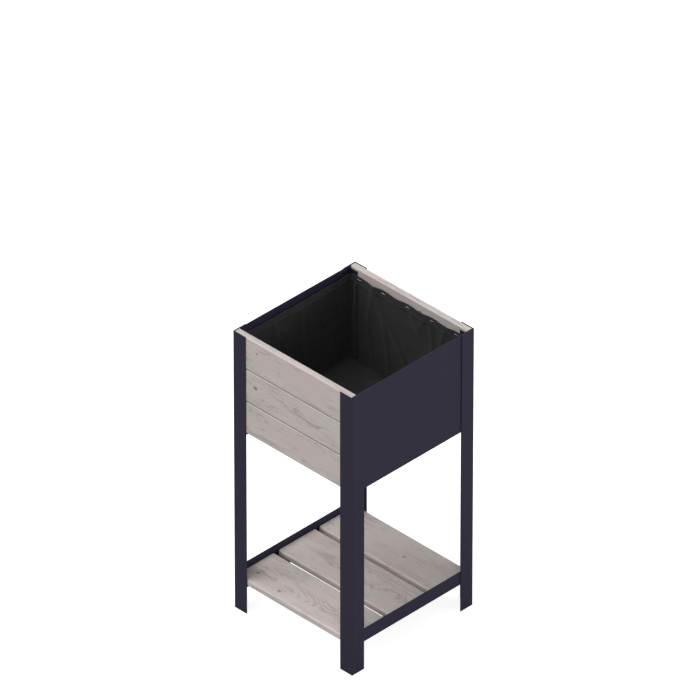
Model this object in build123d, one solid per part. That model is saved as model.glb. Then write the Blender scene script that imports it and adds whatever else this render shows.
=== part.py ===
from build123d import *
import os

# Raised planter on legs, with a slatted shelf below the box.
#
# Frame: +Z up, origin on the ground at the middle of the footprint. The two timber walls are the front
# (-Y) and the back (+Y). The two sheet-steel walls are the left (-X) and the right (+X). Millimetres.
#
# Each side is a steel frame: two steel angle legs, a wall panel and a shelf rail, spot welded together
# on their touching faces. Three boards make each timber wall. They stand in the angles of the legs, on the
# turned-in foot of the panels, and are screwed from inside through cleats, so no fixing shows outside.

# ---------------------------------------------------------------- driving dimensions
WIDTH = 420.0            # over the steel sides, along X
DEPTH = 432.0            # over the timber sides, along Y
HEIGHT = 852.0           # ground to rim

SHEET = 2.0              # all the steel
BEND_INSIDE = 0.3        # inside radius of a fold in a panel or rail
LEG_FLANGE = 43.0        # both flanges of a leg angle
LEG_CORNER = 0.8         # outside radius of an angle bar
LEG_FILLET = 1.0         # inside radius of an angle bar
FOOT_FLANGE = 42.0       # turned-in foot of a panel and of a shelf rail
FOLD_CLEARANCE = 1.5     # from the end of a panel or rail to the leg flange beside it

BOX_BOTTOM = 553.5       # underside of the steel wall panels
RAIL_BOTTOM = 82.0       # underside of the shelf rails
RAIL_HEIGHT = 41.0

WALL_BOARD_THICKNESS = 18.0
WALL_BOARD_HEIGHT = 97.0
WALL_BOARD_GAP = 1.5     # open joint between two wall boards
WALL_BOARD_ROUNDING = 3.0
WALL_BOARDS = 3
BOARD_END_CLEARANCE = 0.5

SHELF_BOARD_THICKNESS = 20.5
SHELF_BOARD_WIDTH = 132.5
SHELF_BOARD_ROUNDING = 6.0
SHELF_END_CLEARANCE = 3.0
SHELF_FRONT_INSET = 3.0  # from the outside of the legs to the front shelf board
SHELF_FRONT_GAP = 15.5   # between the front and the middle shelf board
SHELF_BACK_GAP = 13.0    # between the middle and the back shelf board

FLOOR_SLATS = 4
FLOOR_SLAT_THICKNESS = 18.0
FLOOR_SLAT_GAP = 8.0
FLOOR_SIDE_CLEARANCE = 1.0
FLOOR_END_CLEARANCE = 1.5
FLOOR_SLAT_ROUNDING = 2.0

CLEAT_FLANGE = 25.0
CLEAT_TOP_DROP = 8.0     # rim to the top of a corner cleat
CLEAT_FLOOR_CLEARANCE = 1.0

LINER_THICKNESS = 2.0
LINER_CLEARANCE = 0.5    # to the cleats and to the floor slats
LINER_TOP_DROP = 18.0    # rim to the top edge of the liner

SCREW_SHANK = 4.0
SCREW_HEAD = 8.0
SCREW_POINT = 3.0        # length of the pointed end
COUNTERSINK_DEPTH = 2.0
PAN_HEAD_HEIGHT = 2.4
SHORT_SCREW = 15.0       # under the head, in the walls and in the floor
SHELF_SCREW = 17.0       # under the head, in the shelf
DRIVE_SIZE = 2.6         # across the square drive recess
DRIVE_DEPTH = 1.2
WALL_SCREW_FROM_EDGE = 30.0
SHELF_SCREW_SPREAD = 80.0

STAPLE_CROWN = 12.0
STAPLE_WIRE = 1.0
STAPLE_LEG = 10.0
STAPLES_A_SIDE = 5
STAPLE_SPAN = 340.0
STAPLE_DROP = 8.0        # liner edge to the staples

# ---------------------------------------------------------------- places worked out from them
HALF_X = WIDTH / 2
HALF_Y = DEPTH / 2
LEG_INSIDE_X = HALF_X - SHEET              # inner face of a leg's side flange, which a panel or rail touches
LEG_INSIDE_Y = HALF_Y - SHEET              # inner face of a leg's front or back flange
PANEL_INSIDE = LEG_INSIDE_X - SHEET        # inner face of a panel or of a rail
FOLD_HALF_LENGTH = LEG_INSIDE_Y - FOLD_CLEARANCE
WALL_BOTTOM = HEIGHT - WALL_BOARDS * WALL_BOARD_HEIGHT - (WALL_BOARDS - 1) * WALL_BOARD_GAP
WALL_INSIDE = LEG_INSIDE_Y - WALL_BOARD_THICKNESS
WALL_BOARD_HALF_LENGTH = PANEL_INSIDE - BOARD_END_CLEARANCE
FLOOR_BOTTOM = BOX_BOTTOM + SHEET
FLOOR_TOP = FLOOR_BOTTOM + FLOOR_SLAT_THICKNESS
SHELF_BOTTOM = RAIL_BOTTOM + SHEET
FOOT_MIDDLE = LEG_INSIDE_X - FOOT_FLANGE / 2  # line of the screws through a panel's or rail's foot
CLEAT_SCREW_X = PANEL_INSIDE - 0.55 * CLEAT_FLANGE


# ---------------------------------------------------------------- shapes
def block(low, high):
    """A box between two corners."""
    size = [high[i] - low[i] for i in range(3)]
    middle = [(high[i] + low[i]) / 2 for i in range(3)]
    return Pos(*middle) * Box(*size)


def angle_section(width, height, inside, outside):
    """Steel angle with its outer corner at the origin, along +X and +Y, rounded inside and outside."""
    outline = Polyline(
        (0, 0), (width, 0), (width, SHEET), (SHEET, SHEET), (SHEET, height), (0, height), close=True
    )
    face = make_face(outline)
    inner_corner = face.vertices().sort_by_distance(Vector(SHEET, SHEET))[0]
    face = fillet(inner_corner, inside)
    outer_corner = face.vertices().sort_by_distance(Vector(0, 0))[0]
    return fillet(outer_corner, outside)


def board(length_x, low_y, high_y, low_z, high_z, rounding):
    """A planed board lying along X, its four long edges rounded."""
    plank = block((-length_x, low_y, low_z), (length_x, high_y, high_z))
    return fillet(plank.edges().filter_by(Axis.X), rounding)


def screw(length, countersunk):
    """A wood screw along -Z, its head's bearing plane at the origin, or its flush face if countersunk."""
    shank = SCREW_SHANK / 2
    head = SCREW_HEAD / 2
    top = 0.0 if countersunk else PAN_HEAD_HEIGHT
    if countersunk:
        side = [(0, 0), (head, 0), (shank, -COUNTERSINK_DEPTH)]
    else:
        side = [(0, top), (0.7 * head, top), (head, 0.55 * top), (head, 0), (shank, 0)]
    side += [(shank, SCREW_POINT - length), (0, -length)]
    profile = Plane.XZ * make_face(Polyline(*side, close=True))
    solid = revolve(profile, Axis.Z)
    recess = Pos(0, 0, top - DRIVE_DEPTH / 2) * Box(DRIVE_SIZE, DRIVE_SIZE, DRIVE_DEPTH)
    return solid - recess


def plug(length, countersunk):
    """The same screw with no drive recess, as the hole that it fills."""
    shank = SCREW_SHANK / 2
    head = SCREW_HEAD / 2
    side = [(0, 0)]
    if countersunk:
        side += [(head, 0), (shank, -COUNTERSINK_DEPTH)]
    else:
        side += [(shank, 0)]
    side += [(shank, SCREW_POINT - length), (0, -length)]
    return revolve(Plane.XZ * make_face(Polyline(*side, close=True)), Axis.Z)


def staple():
    """A wire staple with its crown along X at the origin, its two legs along -Z."""
    half = STAPLE_CROWN / 2
    wire = STAPLE_WIRE / 2
    crown = block((-half, -wire, 0), (half, wire, STAPLE_WIRE))
    left = block((-half, -wire, -STAPLE_LEG), (STAPLE_WIRE - half, wire, 0))
    right = block((half - STAPLE_WIRE, -wire, -STAPLE_LEG), (half, wire, 0))
    return crown + left + right


def save(name, shape):
    """Writes one named piece, or a group of identical fasteners, as its own file."""
    shape.label = name
    export_step(shape, f"parts/{name}.step")


# ---------------------------------------------------------------- steel side frames
def leg(side_x, side_y):
    """A steel angle leg, its outer corner at a corner of the footprint."""
    section = angle_section(LEG_FLANGE, LEG_FLANGE, LEG_FILLET, LEG_CORNER)
    if side_x > 0:
        section = mirror(section, Plane.YZ)
    if side_y > 0:
        section = mirror(section, Plane.XZ)
    return extrude(Pos(side_x * HALF_X, side_y * HALF_Y, 0) * section, HEIGHT, dir=(0, 0, 1))


def folded_side(side_x, bottom, height):
    """A sheet on edge behind the legs of one side, its foot turned in: a wall panel or a shelf rail."""
    section = angle_section(FOOT_FLANGE, height, BEND_INSIDE, BEND_INSIDE + SHEET)
    solid = extrude(Plane.XZ.offset(-FOLD_HALF_LENGTH) * section, 2 * FOLD_HALF_LENGTH)
    solid = Pos(-LEG_INSIDE_X, 0, bottom) * solid
    if side_x > 0:
        solid = mirror(solid, Plane.YZ)
    return solid


def cleat(side_x, side_y):
    """A small angle in an inner corner of the box, welded to the panel and screwed to the boards."""
    section = angle_section(CLEAT_FLANGE, CLEAT_FLANGE, LEG_FILLET, LEG_CORNER)
    if side_x > 0:
        section = mirror(section, Plane.YZ)
    if side_y > 0:
        section = mirror(section, Plane.XZ)
    low = FLOOR_TOP + CLEAT_FLOOR_CLEARANCE
    high = HEIGHT - CLEAT_TOP_DROP
    place = Pos(side_x * PANEL_INSIDE, side_y * WALL_INSIDE, low)
    return extrude(place * section, high - low, dir=(0, 0, 1))


# ---------------------------------------------------------------- timber
def wall_board(side_y, row):
    """One board of a timber wall, row 0 at the bottom."""
    low = WALL_BOTTOM + row * (WALL_BOARD_HEIGHT + WALL_BOARD_GAP)
    faces = sorted((side_y * LEG_INSIDE_Y, side_y * WALL_INSIDE))
    return board(
        WALL_BOARD_HALF_LENGTH, faces[0], faces[1], low, low + WALL_BOARD_HEIGHT, WALL_BOARD_ROUNDING
    )


def shelf_board_fronts():
    """Y of the front edge of each shelf board, front to back."""
    first = SHELF_FRONT_INSET - HALF_Y
    second = first + SHELF_BOARD_WIDTH + SHELF_FRONT_GAP
    third = second + SHELF_BOARD_WIDTH + SHELF_BACK_GAP
    return [first, second, third]


def shelf_board(front):
    return board(
        PANEL_INSIDE - SHELF_END_CLEARANCE,
        front,
        front + SHELF_BOARD_WIDTH,
        SHELF_BOTTOM,
        SHELF_BOTTOM + SHELF_BOARD_THICKNESS,
        SHELF_BOARD_ROUNDING,
    )


def floor_slat_places():
    """Y of the front and back edge of each floor slat, front to back."""
    half = WALL_INSIDE - FLOOR_SIDE_CLEARANCE
    width = (2 * half - (FLOOR_SLATS - 1) * FLOOR_SLAT_GAP) / FLOOR_SLATS
    fronts = [-half + i * (width + FLOOR_SLAT_GAP) for i in range(FLOOR_SLATS)]
    return [(front, front + width) for front in fronts]


def floor_slat(front, back):
    half_length = PANEL_INSIDE - FLOOR_END_CLEARANCE
    return board(half_length, front, back, FLOOR_BOTTOM, FLOOR_TOP, FLOOR_SLAT_ROUNDING)


# ---------------------------------------------------------------- fasteners and liner
def wall_screw_places(side_y):
    """Where the screws of one timber wall start, pointing outwards from the inner face of the cleats."""
    places = []
    for row in range(WALL_BOARDS):
        low = WALL_BOTTOM + row * (WALL_BOARD_HEIGHT + WALL_BOARD_GAP)
        for z in (low + WALL_SCREW_FROM_EDGE, low + WALL_BOARD_HEIGHT - WALL_SCREW_FROM_EDGE):
            for side_x in (-1, 1):
                spot = Pos(side_x * CLEAT_SCREW_X, side_y * (WALL_INSIDE - SHEET), z)
                places.append(spot * Rot(side_y * 90, 0, 0))
    return places


def shelf_screw_places():
    """Two screws in each end of each shelf board, pointing up through the foot of the rail."""
    places = []
    for front in shelf_board_fronts():
        middle = front + SHELF_BOARD_WIDTH / 2
        for side_x in (-1, 1):
            for step in (-1, 1):
                spot = Pos(side_x * FOOT_MIDDLE, middle + step * SHELF_SCREW_SPREAD / 2, RAIL_BOTTOM)
                places.append(spot * Rot(180, 0, 0))
    return places


def floor_screw_places():
    """One screw in each end of each floor slat, pointing up through the foot of the panel."""
    places = []
    for front, back in floor_slat_places():
        for side_x in (-1, 1):
            places.append(Pos(side_x * FOOT_MIDDLE, (front + back) / 2, BOX_BOTTOM) * Rot(180, 0, 0))
    return places


def staple_places(side_y):
    """Staples along the top edge of the liner, pointing outwards into the top board."""
    step = STAPLE_SPAN / (STAPLES_A_SIDE - 1)
    z = HEIGHT - LINER_TOP_DROP - STAPLE_DROP
    places = []
    for i in range(STAPLES_A_SIDE):
        spot = Pos(i * step - STAPLE_SPAN / 2, side_y * liner_inside()[1], z)
        places.append(spot * Rot(side_y * 90, 0, 0))
    return places


def liner_inside():
    """Half length and half depth of the inside of the liner, and its floor."""
    half_x = PANEL_INSIDE - SHEET - LINER_CLEARANCE - LINER_THICKNESS
    half_y = WALL_INSIDE - SHEET - LINER_CLEARANCE - LINER_THICKNESS
    return half_x, half_y, FLOOR_TOP + LINER_CLEARANCE + LINER_THICKNESS


def liner():
    """The felt liner, an open box that stands clear of the cleats."""
    half_x, half_y, low = liner_inside()
    wall = LINER_THICKNESS
    top = HEIGHT - LINER_TOP_DROP
    outer = block((-half_x - wall, -half_y - wall, low - wall), (half_x + wall, half_y + wall, top))
    return outer - block((-half_x, -half_y, low), (half_x, half_y, top))


def group(shape, places):
    return Compound(children=[place * shape for place in places])


def drill(shape, hole, places):
    """Takes from a piece the holes of the fasteners that reach it."""
    box = shape.bounding_box()
    for place in places:
        tool = place * hole
        reach = tool.bounding_box()
        misses = any(
            tuple(reach.min)[i] > tuple(box.max)[i] or tuple(reach.max)[i] < tuple(box.min)[i]
            for i in range(3)
        )
        if not misses:
            shape = shape - tool
    return shape


# ---------------------------------------------------------------- the whole planter
os.makedirs("parts", exist_ok=True)

SIDES = {"left": -1, "right": 1}
WALLS = {"front": -1, "back": 1}
ROWS = ["bottom", "middle", "top"]

wall_hole = plug(SHORT_SCREW, countersunk=True)
shelf_hole = plug(SHELF_SCREW, countersunk=False)
floor_hole = plug(SHORT_SCREW, countersunk=False)

for side, side_x in SIDES.items():
    panel = folded_side(side_x, BOX_BOTTOM, HEIGHT - BOX_BOTTOM)
    save(f"side_panel_{side}", drill(panel, floor_hole, floor_screw_places()))
    rail = folded_side(side_x, RAIL_BOTTOM, RAIL_HEIGHT)
    save(f"shelf_rail_{side}", drill(rail, shelf_hole, shelf_screw_places()))
    for wall, side_y in WALLS.items():
        save(f"leg_{wall}_{side}", leg(side_x, side_y))
        drilled = drill(cleat(side_x, side_y), wall_hole, wall_screw_places(side_y))
        save(f"corner_cleat_{wall}_{side}", drilled)

felt = liner()
for wall, side_y in WALLS.items():
    for row, row_name in enumerate(ROWS):
        plank = drill(wall_board(side_y, row), wall_hole, wall_screw_places(side_y))
        if row_name == "top":
            plank = drill(plank, staple(), staple_places(side_y))
        save(f"{wall}_board_{row_name}", plank)
    felt = drill(felt, staple(), staple_places(side_y))
    save(f"{wall}_board_screws", group(screw(SHORT_SCREW, countersunk=True), wall_screw_places(side_y)))
save("liner", felt)
save("liner_staples", group(staple(), staple_places(-1) + staple_places(1)))

for name, front in zip(("front", "middle", "back"), shelf_board_fronts()):
    save(f"shelf_board_{name}", drill(shelf_board(front), shelf_hole, shelf_screw_places()))
save("shelf_screws", group(screw(SHELF_SCREW, countersunk=False), shelf_screw_places()))

for number, (front, back) in enumerate(floor_slat_places(), start=1):
    save(f"floor_slat_{number}", drill(floor_slat(front, back), floor_hole, floor_screw_places()))
save("floor_screws", group(screw(SHORT_SCREW, countersunk=False), floor_screw_places()))
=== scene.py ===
"""Raised planter on legs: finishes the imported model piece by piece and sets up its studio.

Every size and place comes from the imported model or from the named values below. The planter stands on the
ground at the origin, +Z up, its timber walls facing -Y and +Y and its sheet-steel sides facing -X and +X.
"""

import math

import bmesh
import bpy
from mathutils import Matrix, Vector, noise


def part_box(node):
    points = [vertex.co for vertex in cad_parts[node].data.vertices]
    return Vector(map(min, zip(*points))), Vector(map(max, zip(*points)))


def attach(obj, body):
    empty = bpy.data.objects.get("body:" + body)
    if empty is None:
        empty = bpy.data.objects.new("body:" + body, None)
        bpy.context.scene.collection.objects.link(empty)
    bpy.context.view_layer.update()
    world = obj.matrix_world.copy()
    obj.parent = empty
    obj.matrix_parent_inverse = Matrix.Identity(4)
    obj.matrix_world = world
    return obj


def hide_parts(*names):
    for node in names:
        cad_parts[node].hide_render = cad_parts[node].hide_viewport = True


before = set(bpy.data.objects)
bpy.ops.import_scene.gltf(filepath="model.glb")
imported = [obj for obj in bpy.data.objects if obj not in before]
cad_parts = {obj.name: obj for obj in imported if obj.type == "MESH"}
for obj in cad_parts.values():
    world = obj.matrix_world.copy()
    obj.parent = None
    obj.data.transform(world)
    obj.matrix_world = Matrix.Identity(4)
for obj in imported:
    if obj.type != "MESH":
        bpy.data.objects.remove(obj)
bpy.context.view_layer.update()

bl_info = {
    "name": "Raised planter",
    "version": (1, 0, 0),
    "blender": (4, 5, 0),
    "location": "3D View > Sidebar > Planter",
    "description": "Builds the timber, steel and felt of a raised planter round its packed model",
    "category": "Object",
}

BODY = "root"
SIDES = {"left": -1, "right": 1}
WALLS = {"front": -1, "back": 1}
LEG_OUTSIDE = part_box("leg_front_right")[1].x
PANEL_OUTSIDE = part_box("side_panel_right")[1].x
WIDTH = 2 * LEG_OUTSIDE
SHEET = round(LEG_OUTSIDE - PANEL_OUTSIDE, 6)  # a panel lies against the inside of a leg's flange
PAN_HEIGHT = 0.0024
STAPLE_WIRE = 0.00048
FLOOR_SLATS = range(1, 5)
CUT_MARGIN = 0.0012  # how far in from a cut edge its wear reaches
WELD = 1e-6  # points closer than this are one


# ---------------------------------------------------------------- settings
class PlanterSteel(bpy.types.PropertyGroup):
    """Sizes and colour of the steel"""

    sheet: bpy.props.FloatProperty(
        name="Sheet", description="Thickness of the steel", default=SHEET, unit="LENGTH", precision=4
    )
    bar_inside: bpy.props.FloatProperty(
        name="Bar inside", description="Inside radius of an angle bar", default=0.001, unit="LENGTH",
        precision=4,
    )
    bar_outside: bpy.props.FloatProperty(
        name="Bar outside", description="Outside radius of an angle bar", default=0.0008, unit="LENGTH",
        precision=4,
    )
    fold_inside: bpy.props.FloatProperty(
        name="Fold inside", description="Inside radius of a folded sheet", default=0.0003, unit="LENGTH",
        precision=4,
    )
    fold_outside: bpy.props.FloatProperty(
        name="Fold outside", description="Outside radius of a folded sheet", default=0.0023, unit="LENGTH",
        precision=4,
    )
    cut_edge: bpy.props.FloatProperty(
        name="Cut edge", description="Rounding of a cut edge", default=0.0004, unit="LENGTH", precision=4
    )
    ripple: bpy.props.FloatProperty(
        name="Ripple", description="How far a flat stretch is out of true", default=0.0004, unit="LENGTH",
        precision=4,
    )
    colour: bpy.props.FloatVectorProperty(
        name="Colour", description="Powder coat colour", subtype="COLOR", default=(0.0140, 0.0122, 0.0285)
    )


class PlanterTimber(bpy.types.PropertyGroup):
    """Sizes and colours of the boards"""

    wall_rounding: bpy.props.FloatProperty(
        name="Wall rounding", description="Radius along a wall board's edges", default=0.003, unit="LENGTH",
        precision=4,
    )
    shelf_rounding: bpy.props.FloatProperty(
        name="Shelf rounding", description="Radius along a shelf board's edges", default=0.0056,
        unit="LENGTH", precision=4,
    )
    slat_rounding: bpy.props.FloatProperty(
        name="Slat rounding", description="Radius along a floor slat's edges", default=0.002, unit="LENGTH",
        precision=4,
    )
    relief: bpy.props.FloatProperty(
        name="Relief", description="Depth of the planer marks and raised grain", default=0.0003,
        unit="LENGTH", precision=5,
    )
    stain: bpy.props.FloatVectorProperty(
        name="Stain", description="Colour of the stain on plain wood", subtype="COLOR",
        default=(0.452, 0.412, 0.396),
    )
    grain: bpy.props.FloatVectorProperty(
        name="Grain", description="Colour of the dark grain under the stain", subtype="COLOR",
        default=(0.235, 0.192, 0.172),
    )
    knot: bpy.props.FloatVectorProperty(
        name="Knot", description="Colour of a knot", subtype="COLOR", default=(0.130, 0.100, 0.082)
    )


class PlanterLiner(bpy.types.PropertyGroup):
    """Sizes and colour of the felt liner"""

    felt: bpy.props.FloatProperty(
        name="Felt", description="Thickness of the felt", default=0.001, unit="LENGTH", precision=4
    )
    hem: bpy.props.FloatProperty(
        name="Hem", description="Depth of the turned top edge", default=0.022, unit="LENGTH"
    )
    corner: bpy.props.FloatProperty(
        name="Corner", description="Radius of the upright corners", default=0.014, unit="LENGTH"
    )
    floor_bend: bpy.props.FloatProperty(
        name="Floor bend", description="Radius where the floor turns up into a wall", default=0.009,
        unit="LENGTH",
    )
    seam: bpy.props.FloatProperty(
        name="Seam", description="Width of the folded allowance of a corner seam", default=0.012,
        unit="LENGTH",
    )
    crease: bpy.props.FloatProperty(
        name="Crease", description="Depth of the creases in the walls", default=0.0045, unit="LENGTH",
        precision=4,
    )
    sag: bpy.props.FloatProperty(
        name="Sag", description="Drop of the top edge between two staples", default=0.003, unit="LENGTH",
        precision=4,
    )
    stitch: bpy.props.FloatProperty(
        name="Stitch", description="Pitch of the hem's stitches", default=0.007, unit="LENGTH", precision=4
    )
    colour: bpy.props.FloatVectorProperty(
        name="Colour", description="Colour of the felt", subtype="COLOR", default=(0.012, 0.012, 0.013)
    )


class PlanterStage(bpy.types.PropertyGroup):
    """Camera, floor and light"""

    azimuth: bpy.props.FloatProperty(
        name="Azimuth", description="Camera's turn round the planter", default=math.radians(44.906),
        subtype="ANGLE",
    )
    elevation: bpy.props.FloatProperty(
        name="Elevation", description="Camera's angle above the ground", default=math.radians(34.807),
        subtype="ANGLE",
    )
    distance: bpy.props.FloatProperty(
        name="Distance", description="Camera to planter", default=35.0, unit="LENGTH"
    )
    lens: bpy.props.FloatProperty(
        name="Lens", description="Focal length", default=719.3, unit="CAMERA"
    )
    aim_right: bpy.props.FloatProperty(
        name="Aim right", description="Middle of the view, to the right of the planter", default=-0.01421,
        unit="LENGTH", precision=4,
    )
    aim_up: bpy.props.FloatProperty(
        name="Aim up", description="Middle of the view, above the planter's waist", default=0.30832,
        unit="LENGTH", precision=4,
    )
    floor: bpy.props.FloatVectorProperty(
        name="Floor", description="Colour of the floor", subtype="COLOR", default=(0.42, 0.42, 0.42)
    )
    glow: bpy.props.FloatProperty(
        name="Glow", description="How much the lit floor is lifted towards white for the camera", default=0.84
    )
    sky: bpy.props.FloatProperty(
        name="Sky", description="Strength of the light from all round", default=0.64
    )
    backdrop: bpy.props.FloatProperty(
        name="Backdrop", description="Brightness of the backdrop to the camera", default=1.3
    )
    key: bpy.props.FloatProperty(
        name="Key", description="Strength of the large soft light overhead", default=2.55
    )
    softness: bpy.props.FloatProperty(
        name="Softness", description="How wide the overhead light is", default=math.radians(70.0),
        subtype="ANGLE",
    )
    key_from: bpy.props.FloatVectorProperty(
        name="Key from", description="Where the overhead light comes from", subtype="DIRECTION",
        default=(-0.30, -0.56, 1.0),
    )
    fill: bpy.props.FloatProperty(
        name="Fill", description="Strength of the side light on the steel", default=2.5
    )
    fill_from: bpy.props.FloatVectorProperty(
        name="Fill from", description="Where the side light comes from", subtype="DIRECTION",
        default=(1.0, 0.60, 0.04),
    )


# ---------------------------------------------------------------- node helpers
class Output:
    """One output of a node. Every step reckoned with it adds one node to its tree."""

    def __init__(self, node, key=0):
        self.tree = node.id_data
        self.socket = node.outputs[key]

    def calc(self, operation, *values, clamp=False):
        """One step of arithmetic with this as its first value."""
        sockets = dict(enumerate((self, *values)))
        return Output(add(self.tree, "ShaderNodeMath", sockets, operation=operation, use_clamp=clamp))

    def __add__(self, other):
        return self.calc("ADD", other)

    def __sub__(self, other):
        return self.calc("SUBTRACT", other)

    def __mul__(self, other):
        return self.calc("MULTIPLY", other)

    def __truediv__(self, other):
        return self.calc("DIVIDE", other)

    def absolute(self):
        return self.calc("ABSOLUTE")

    def vector(self, operation, sockets):
        """One step of vector arithmetic with this as its first vector."""
        sockets = {0: self, **sockets}
        return Output(add(self.tree, "ShaderNodeVectorMath", sockets, operation=operation), "Vector")

    def parts(self):
        """The three parts of a vector or a colour."""
        node = add(self.tree, "ShaderNodeSeparateXYZ", {0: self})
        return [Output(node, k) for k in range(3)]

    def spread(self, low, high, to_low=0.0, to_high=1.0, smooth=True):
        """Maps low..high to to_low..to_high and stops there."""
        sockets = {0: self, 1: low, 2: high, 3: to_low, 4: to_high}
        kind = "SMOOTHSTEP" if smooth else "LINEAR"
        return Output(add(self.tree, "ShaderNodeMapRange", sockets, interpolation_type=kind, clamp=True))

    def within(self, low, high):
        """Maps 0..1 evenly to low..high."""
        return self.spread(0.0, 1.0, low, high, smooth=False)

    def speckle(self, scale, detail=3.0, roughness=0.55, distortion=0.0):
        """Noise from 0 to 1 at so many cells a metre."""
        sockets = {"Vector": self, "Scale": scale, "Detail": detail, "Roughness": roughness,
                   "Distortion": distortion}
        return Output(add(self.tree, "ShaderNodeTexNoise", sockets, noise_dimensions="3D"))

    def streak(self, along, across, detail=1.0, roughness=0.55):
        """Noise drawn out along X: so many cells a metre along it and across it."""
        stretched = self.vector("MULTIPLY", {1: (along, across, across)})
        return stretched.speckle(1.0, detail, roughness)


def add(tree, kind, sockets=None, **options):
    """Adds a node, sets its options, and links or sets its sockets by name or number."""
    node = tree.nodes.new(kind)
    for option, value in options.items():
        setattr(node, option, value)
    return fill_sockets(node, sockets or {})


def fill_sockets(node, sockets):
    """Links each of a node's sockets to an output, or sets it to a value."""
    for key, value in sockets.items():
        if isinstance(value, Output):
            node.id_data.links.new(value.socket, node.inputs[key])
        else:
            node.inputs[key].default_value = value
    return node


def combined(tree, *values):
    """A vector from its parts. A part that isn't given is 0."""
    return Output(add(tree, "ShaderNodeCombineXYZ", dict(enumerate(values))))


def blend(factor, first, second):
    """Mixes two colours."""
    return Output(add(factor.tree, "ShaderNodeMix", {0: factor, 6: first, 7: second}, data_type="RGBA"), 2)


def opaque(colour, brightness=1.0):
    """A colour made lighter or darker, with nothing showing through."""
    return (*(brightness * part for part in colour), 1.0)


SOCKET_TYPES = {float: "NodeSocketFloat", int: "NodeSocketInt", tuple: "NodeSocketVector"}


def new_group(name, inputs, outputs, kind="ShaderNodeTree"):
    """A node group: its tree, its inputs by name, and its output node.

    inputs maps each name to a default, or to the type of a socket that has none.
    """
    tree = bpy.data.node_groups.new(name, kind)
    for label, default in inputs.items():
        typed = isinstance(default, str)
        socket_type = default if typed else SOCKET_TYPES[type(default)]
        socket = tree.interface.new_socket(name=label, in_out="INPUT", socket_type=socket_type)
        if not typed:
            socket.default_value = default
    result = "NodeSocketFloat" if kind == "ShaderNodeTree" else "NodeSocketGeometry"
    for label in outputs:
        tree.interface.new_socket(name=label, in_out="OUTPUT", socket_type=result)
    start = add(tree, "NodeGroupInput")
    return tree, {label: Output(start, label) for label in inputs}, add(tree, "NodeGroupOutput")


def use_group(tree, group, sockets):
    """Places a group among a tree's nodes: its outputs by name."""
    node = add(tree, "ShaderNodeGroup", sockets, node_tree=group)
    return {socket.name: Output(node, socket.name) for socket in node.outputs}


def new_material(name):
    """An empty material, its Principled BSDF and its object-space position."""
    material = bpy.data.materials.new(name)
    material.use_nodes = True
    tree = material.node_tree
    tree.nodes.clear()
    shader = add(tree, "ShaderNodeBsdfPrincipled")
    add(tree, "ShaderNodeOutputMaterial", {"Surface": Output(shader)})
    return material, shader, Output(add(tree, "ShaderNodeTexCoord"), "Object")


def stored(tree, label, output="Fac"):
    """What the mesh keeps under a name."""
    return Output(add(tree, "ShaderNodeAttribute", attribute_name=label), output)


def raise_surface(shader, height, distance, strength):
    """Bumps a material's surface by a height from 0 to 1 of that distance."""
    bump = add(shader.id_data, "ShaderNodeBump",
               {"Height": height, "Distance": distance, "Strength": strength})
    fill_sockets(shader, {"Normal": Output(bump)})


# ---------------------------------------------------------------- shared shader effects
ZERO = (0.0, 0.0, 0.0)


def mottle_group():
    """Uneven tone at two sizes, for every finish: 0.5 is no change."""
    tree, given, end = new_group("Mottle", {"Vector": ZERO, "Coarse": 12.0, "Fine": 90.0}, ["Tone"])
    coarse = given["Vector"].speckle(given["Coarse"], detail=2.0)
    fine = given["Vector"].speckle(given["Fine"], detail=4.0)
    fill_sockets(end, {"Tone": coarse * 0.6 + fine * 0.4})
    return tree


def dust_group():
    """Dust that settles on what faces up, in patches."""
    tree, given, end = new_group("Settled dust", {"Vector": ZERO, "Amount": 0.2}, ["Dust"])
    facing = Output(add(tree, "ShaderNodeNewGeometry"), "Normal")
    lying = facing.parts()[2].spread(0.35, 0.95)
    patches = given["Vector"].speckle(14.0, detail=6.0).spread(0.42, 0.72)
    grains = given["Vector"].speckle(900.0, detail=2.0).spread(0.35, 0.75)
    fill_sockets(end, {"Dust": lying * patches * grains * given["Amount"]})
    return tree


def mottled(groups, place, coarse, fine):
    """Uneven tone at so many cells a metre, coarse and fine."""
    sockets = {"Vector": place, "Coarse": coarse, "Fine": fine}
    return use_group(place.tree, groups["mottle"], sockets)["Tone"]


def dusted(groups, place, amount, colour):
    """A colour under that much settled dust."""
    dust = use_group(place.tree, groups["dust"], {"Vector": place, "Amount": amount})["Dust"]
    return blend(dust, colour, (0.30, 0.28, 0.25, 1.0))


# ---------------------------------------------------------------- materials
def powder_coat(settings, groups):
    """Matte fine-textured powder coat on steel."""
    material, shader, place = new_material("Powder coat")
    tone = mottled(groups, place, 9.0, 160.0)
    shade = tone.spread(0.3, 0.7, smooth=False)
    colour = blend(shade, opaque(settings.colour, 0.88), opaque(settings.colour, 1.14))
    thin = place.speckle(70.0, detail=5.0).spread(0.35, 0.70, 0.25, 1.0)
    colour = blend(stored(place.tree, "steel_edge") * thin, colour, opaque(settings.colour, 1.4))
    fill_sockets(shader, {
        "Base Color": dusted(groups, place, 0.06, colour),
        "Roughness": tone.spread(0.3, 0.7, 0.50, 0.62, smooth=False),
        "Specular IOR Level": 0.20,
    })
    grit = place.speckle(1500.0, detail=2.0)
    swell = place.speckle(260.0, detail=1.0)
    raise_surface(shader, grit * 0.6 + swell * 0.4, 0.00012, 0.55)
    return material


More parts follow.
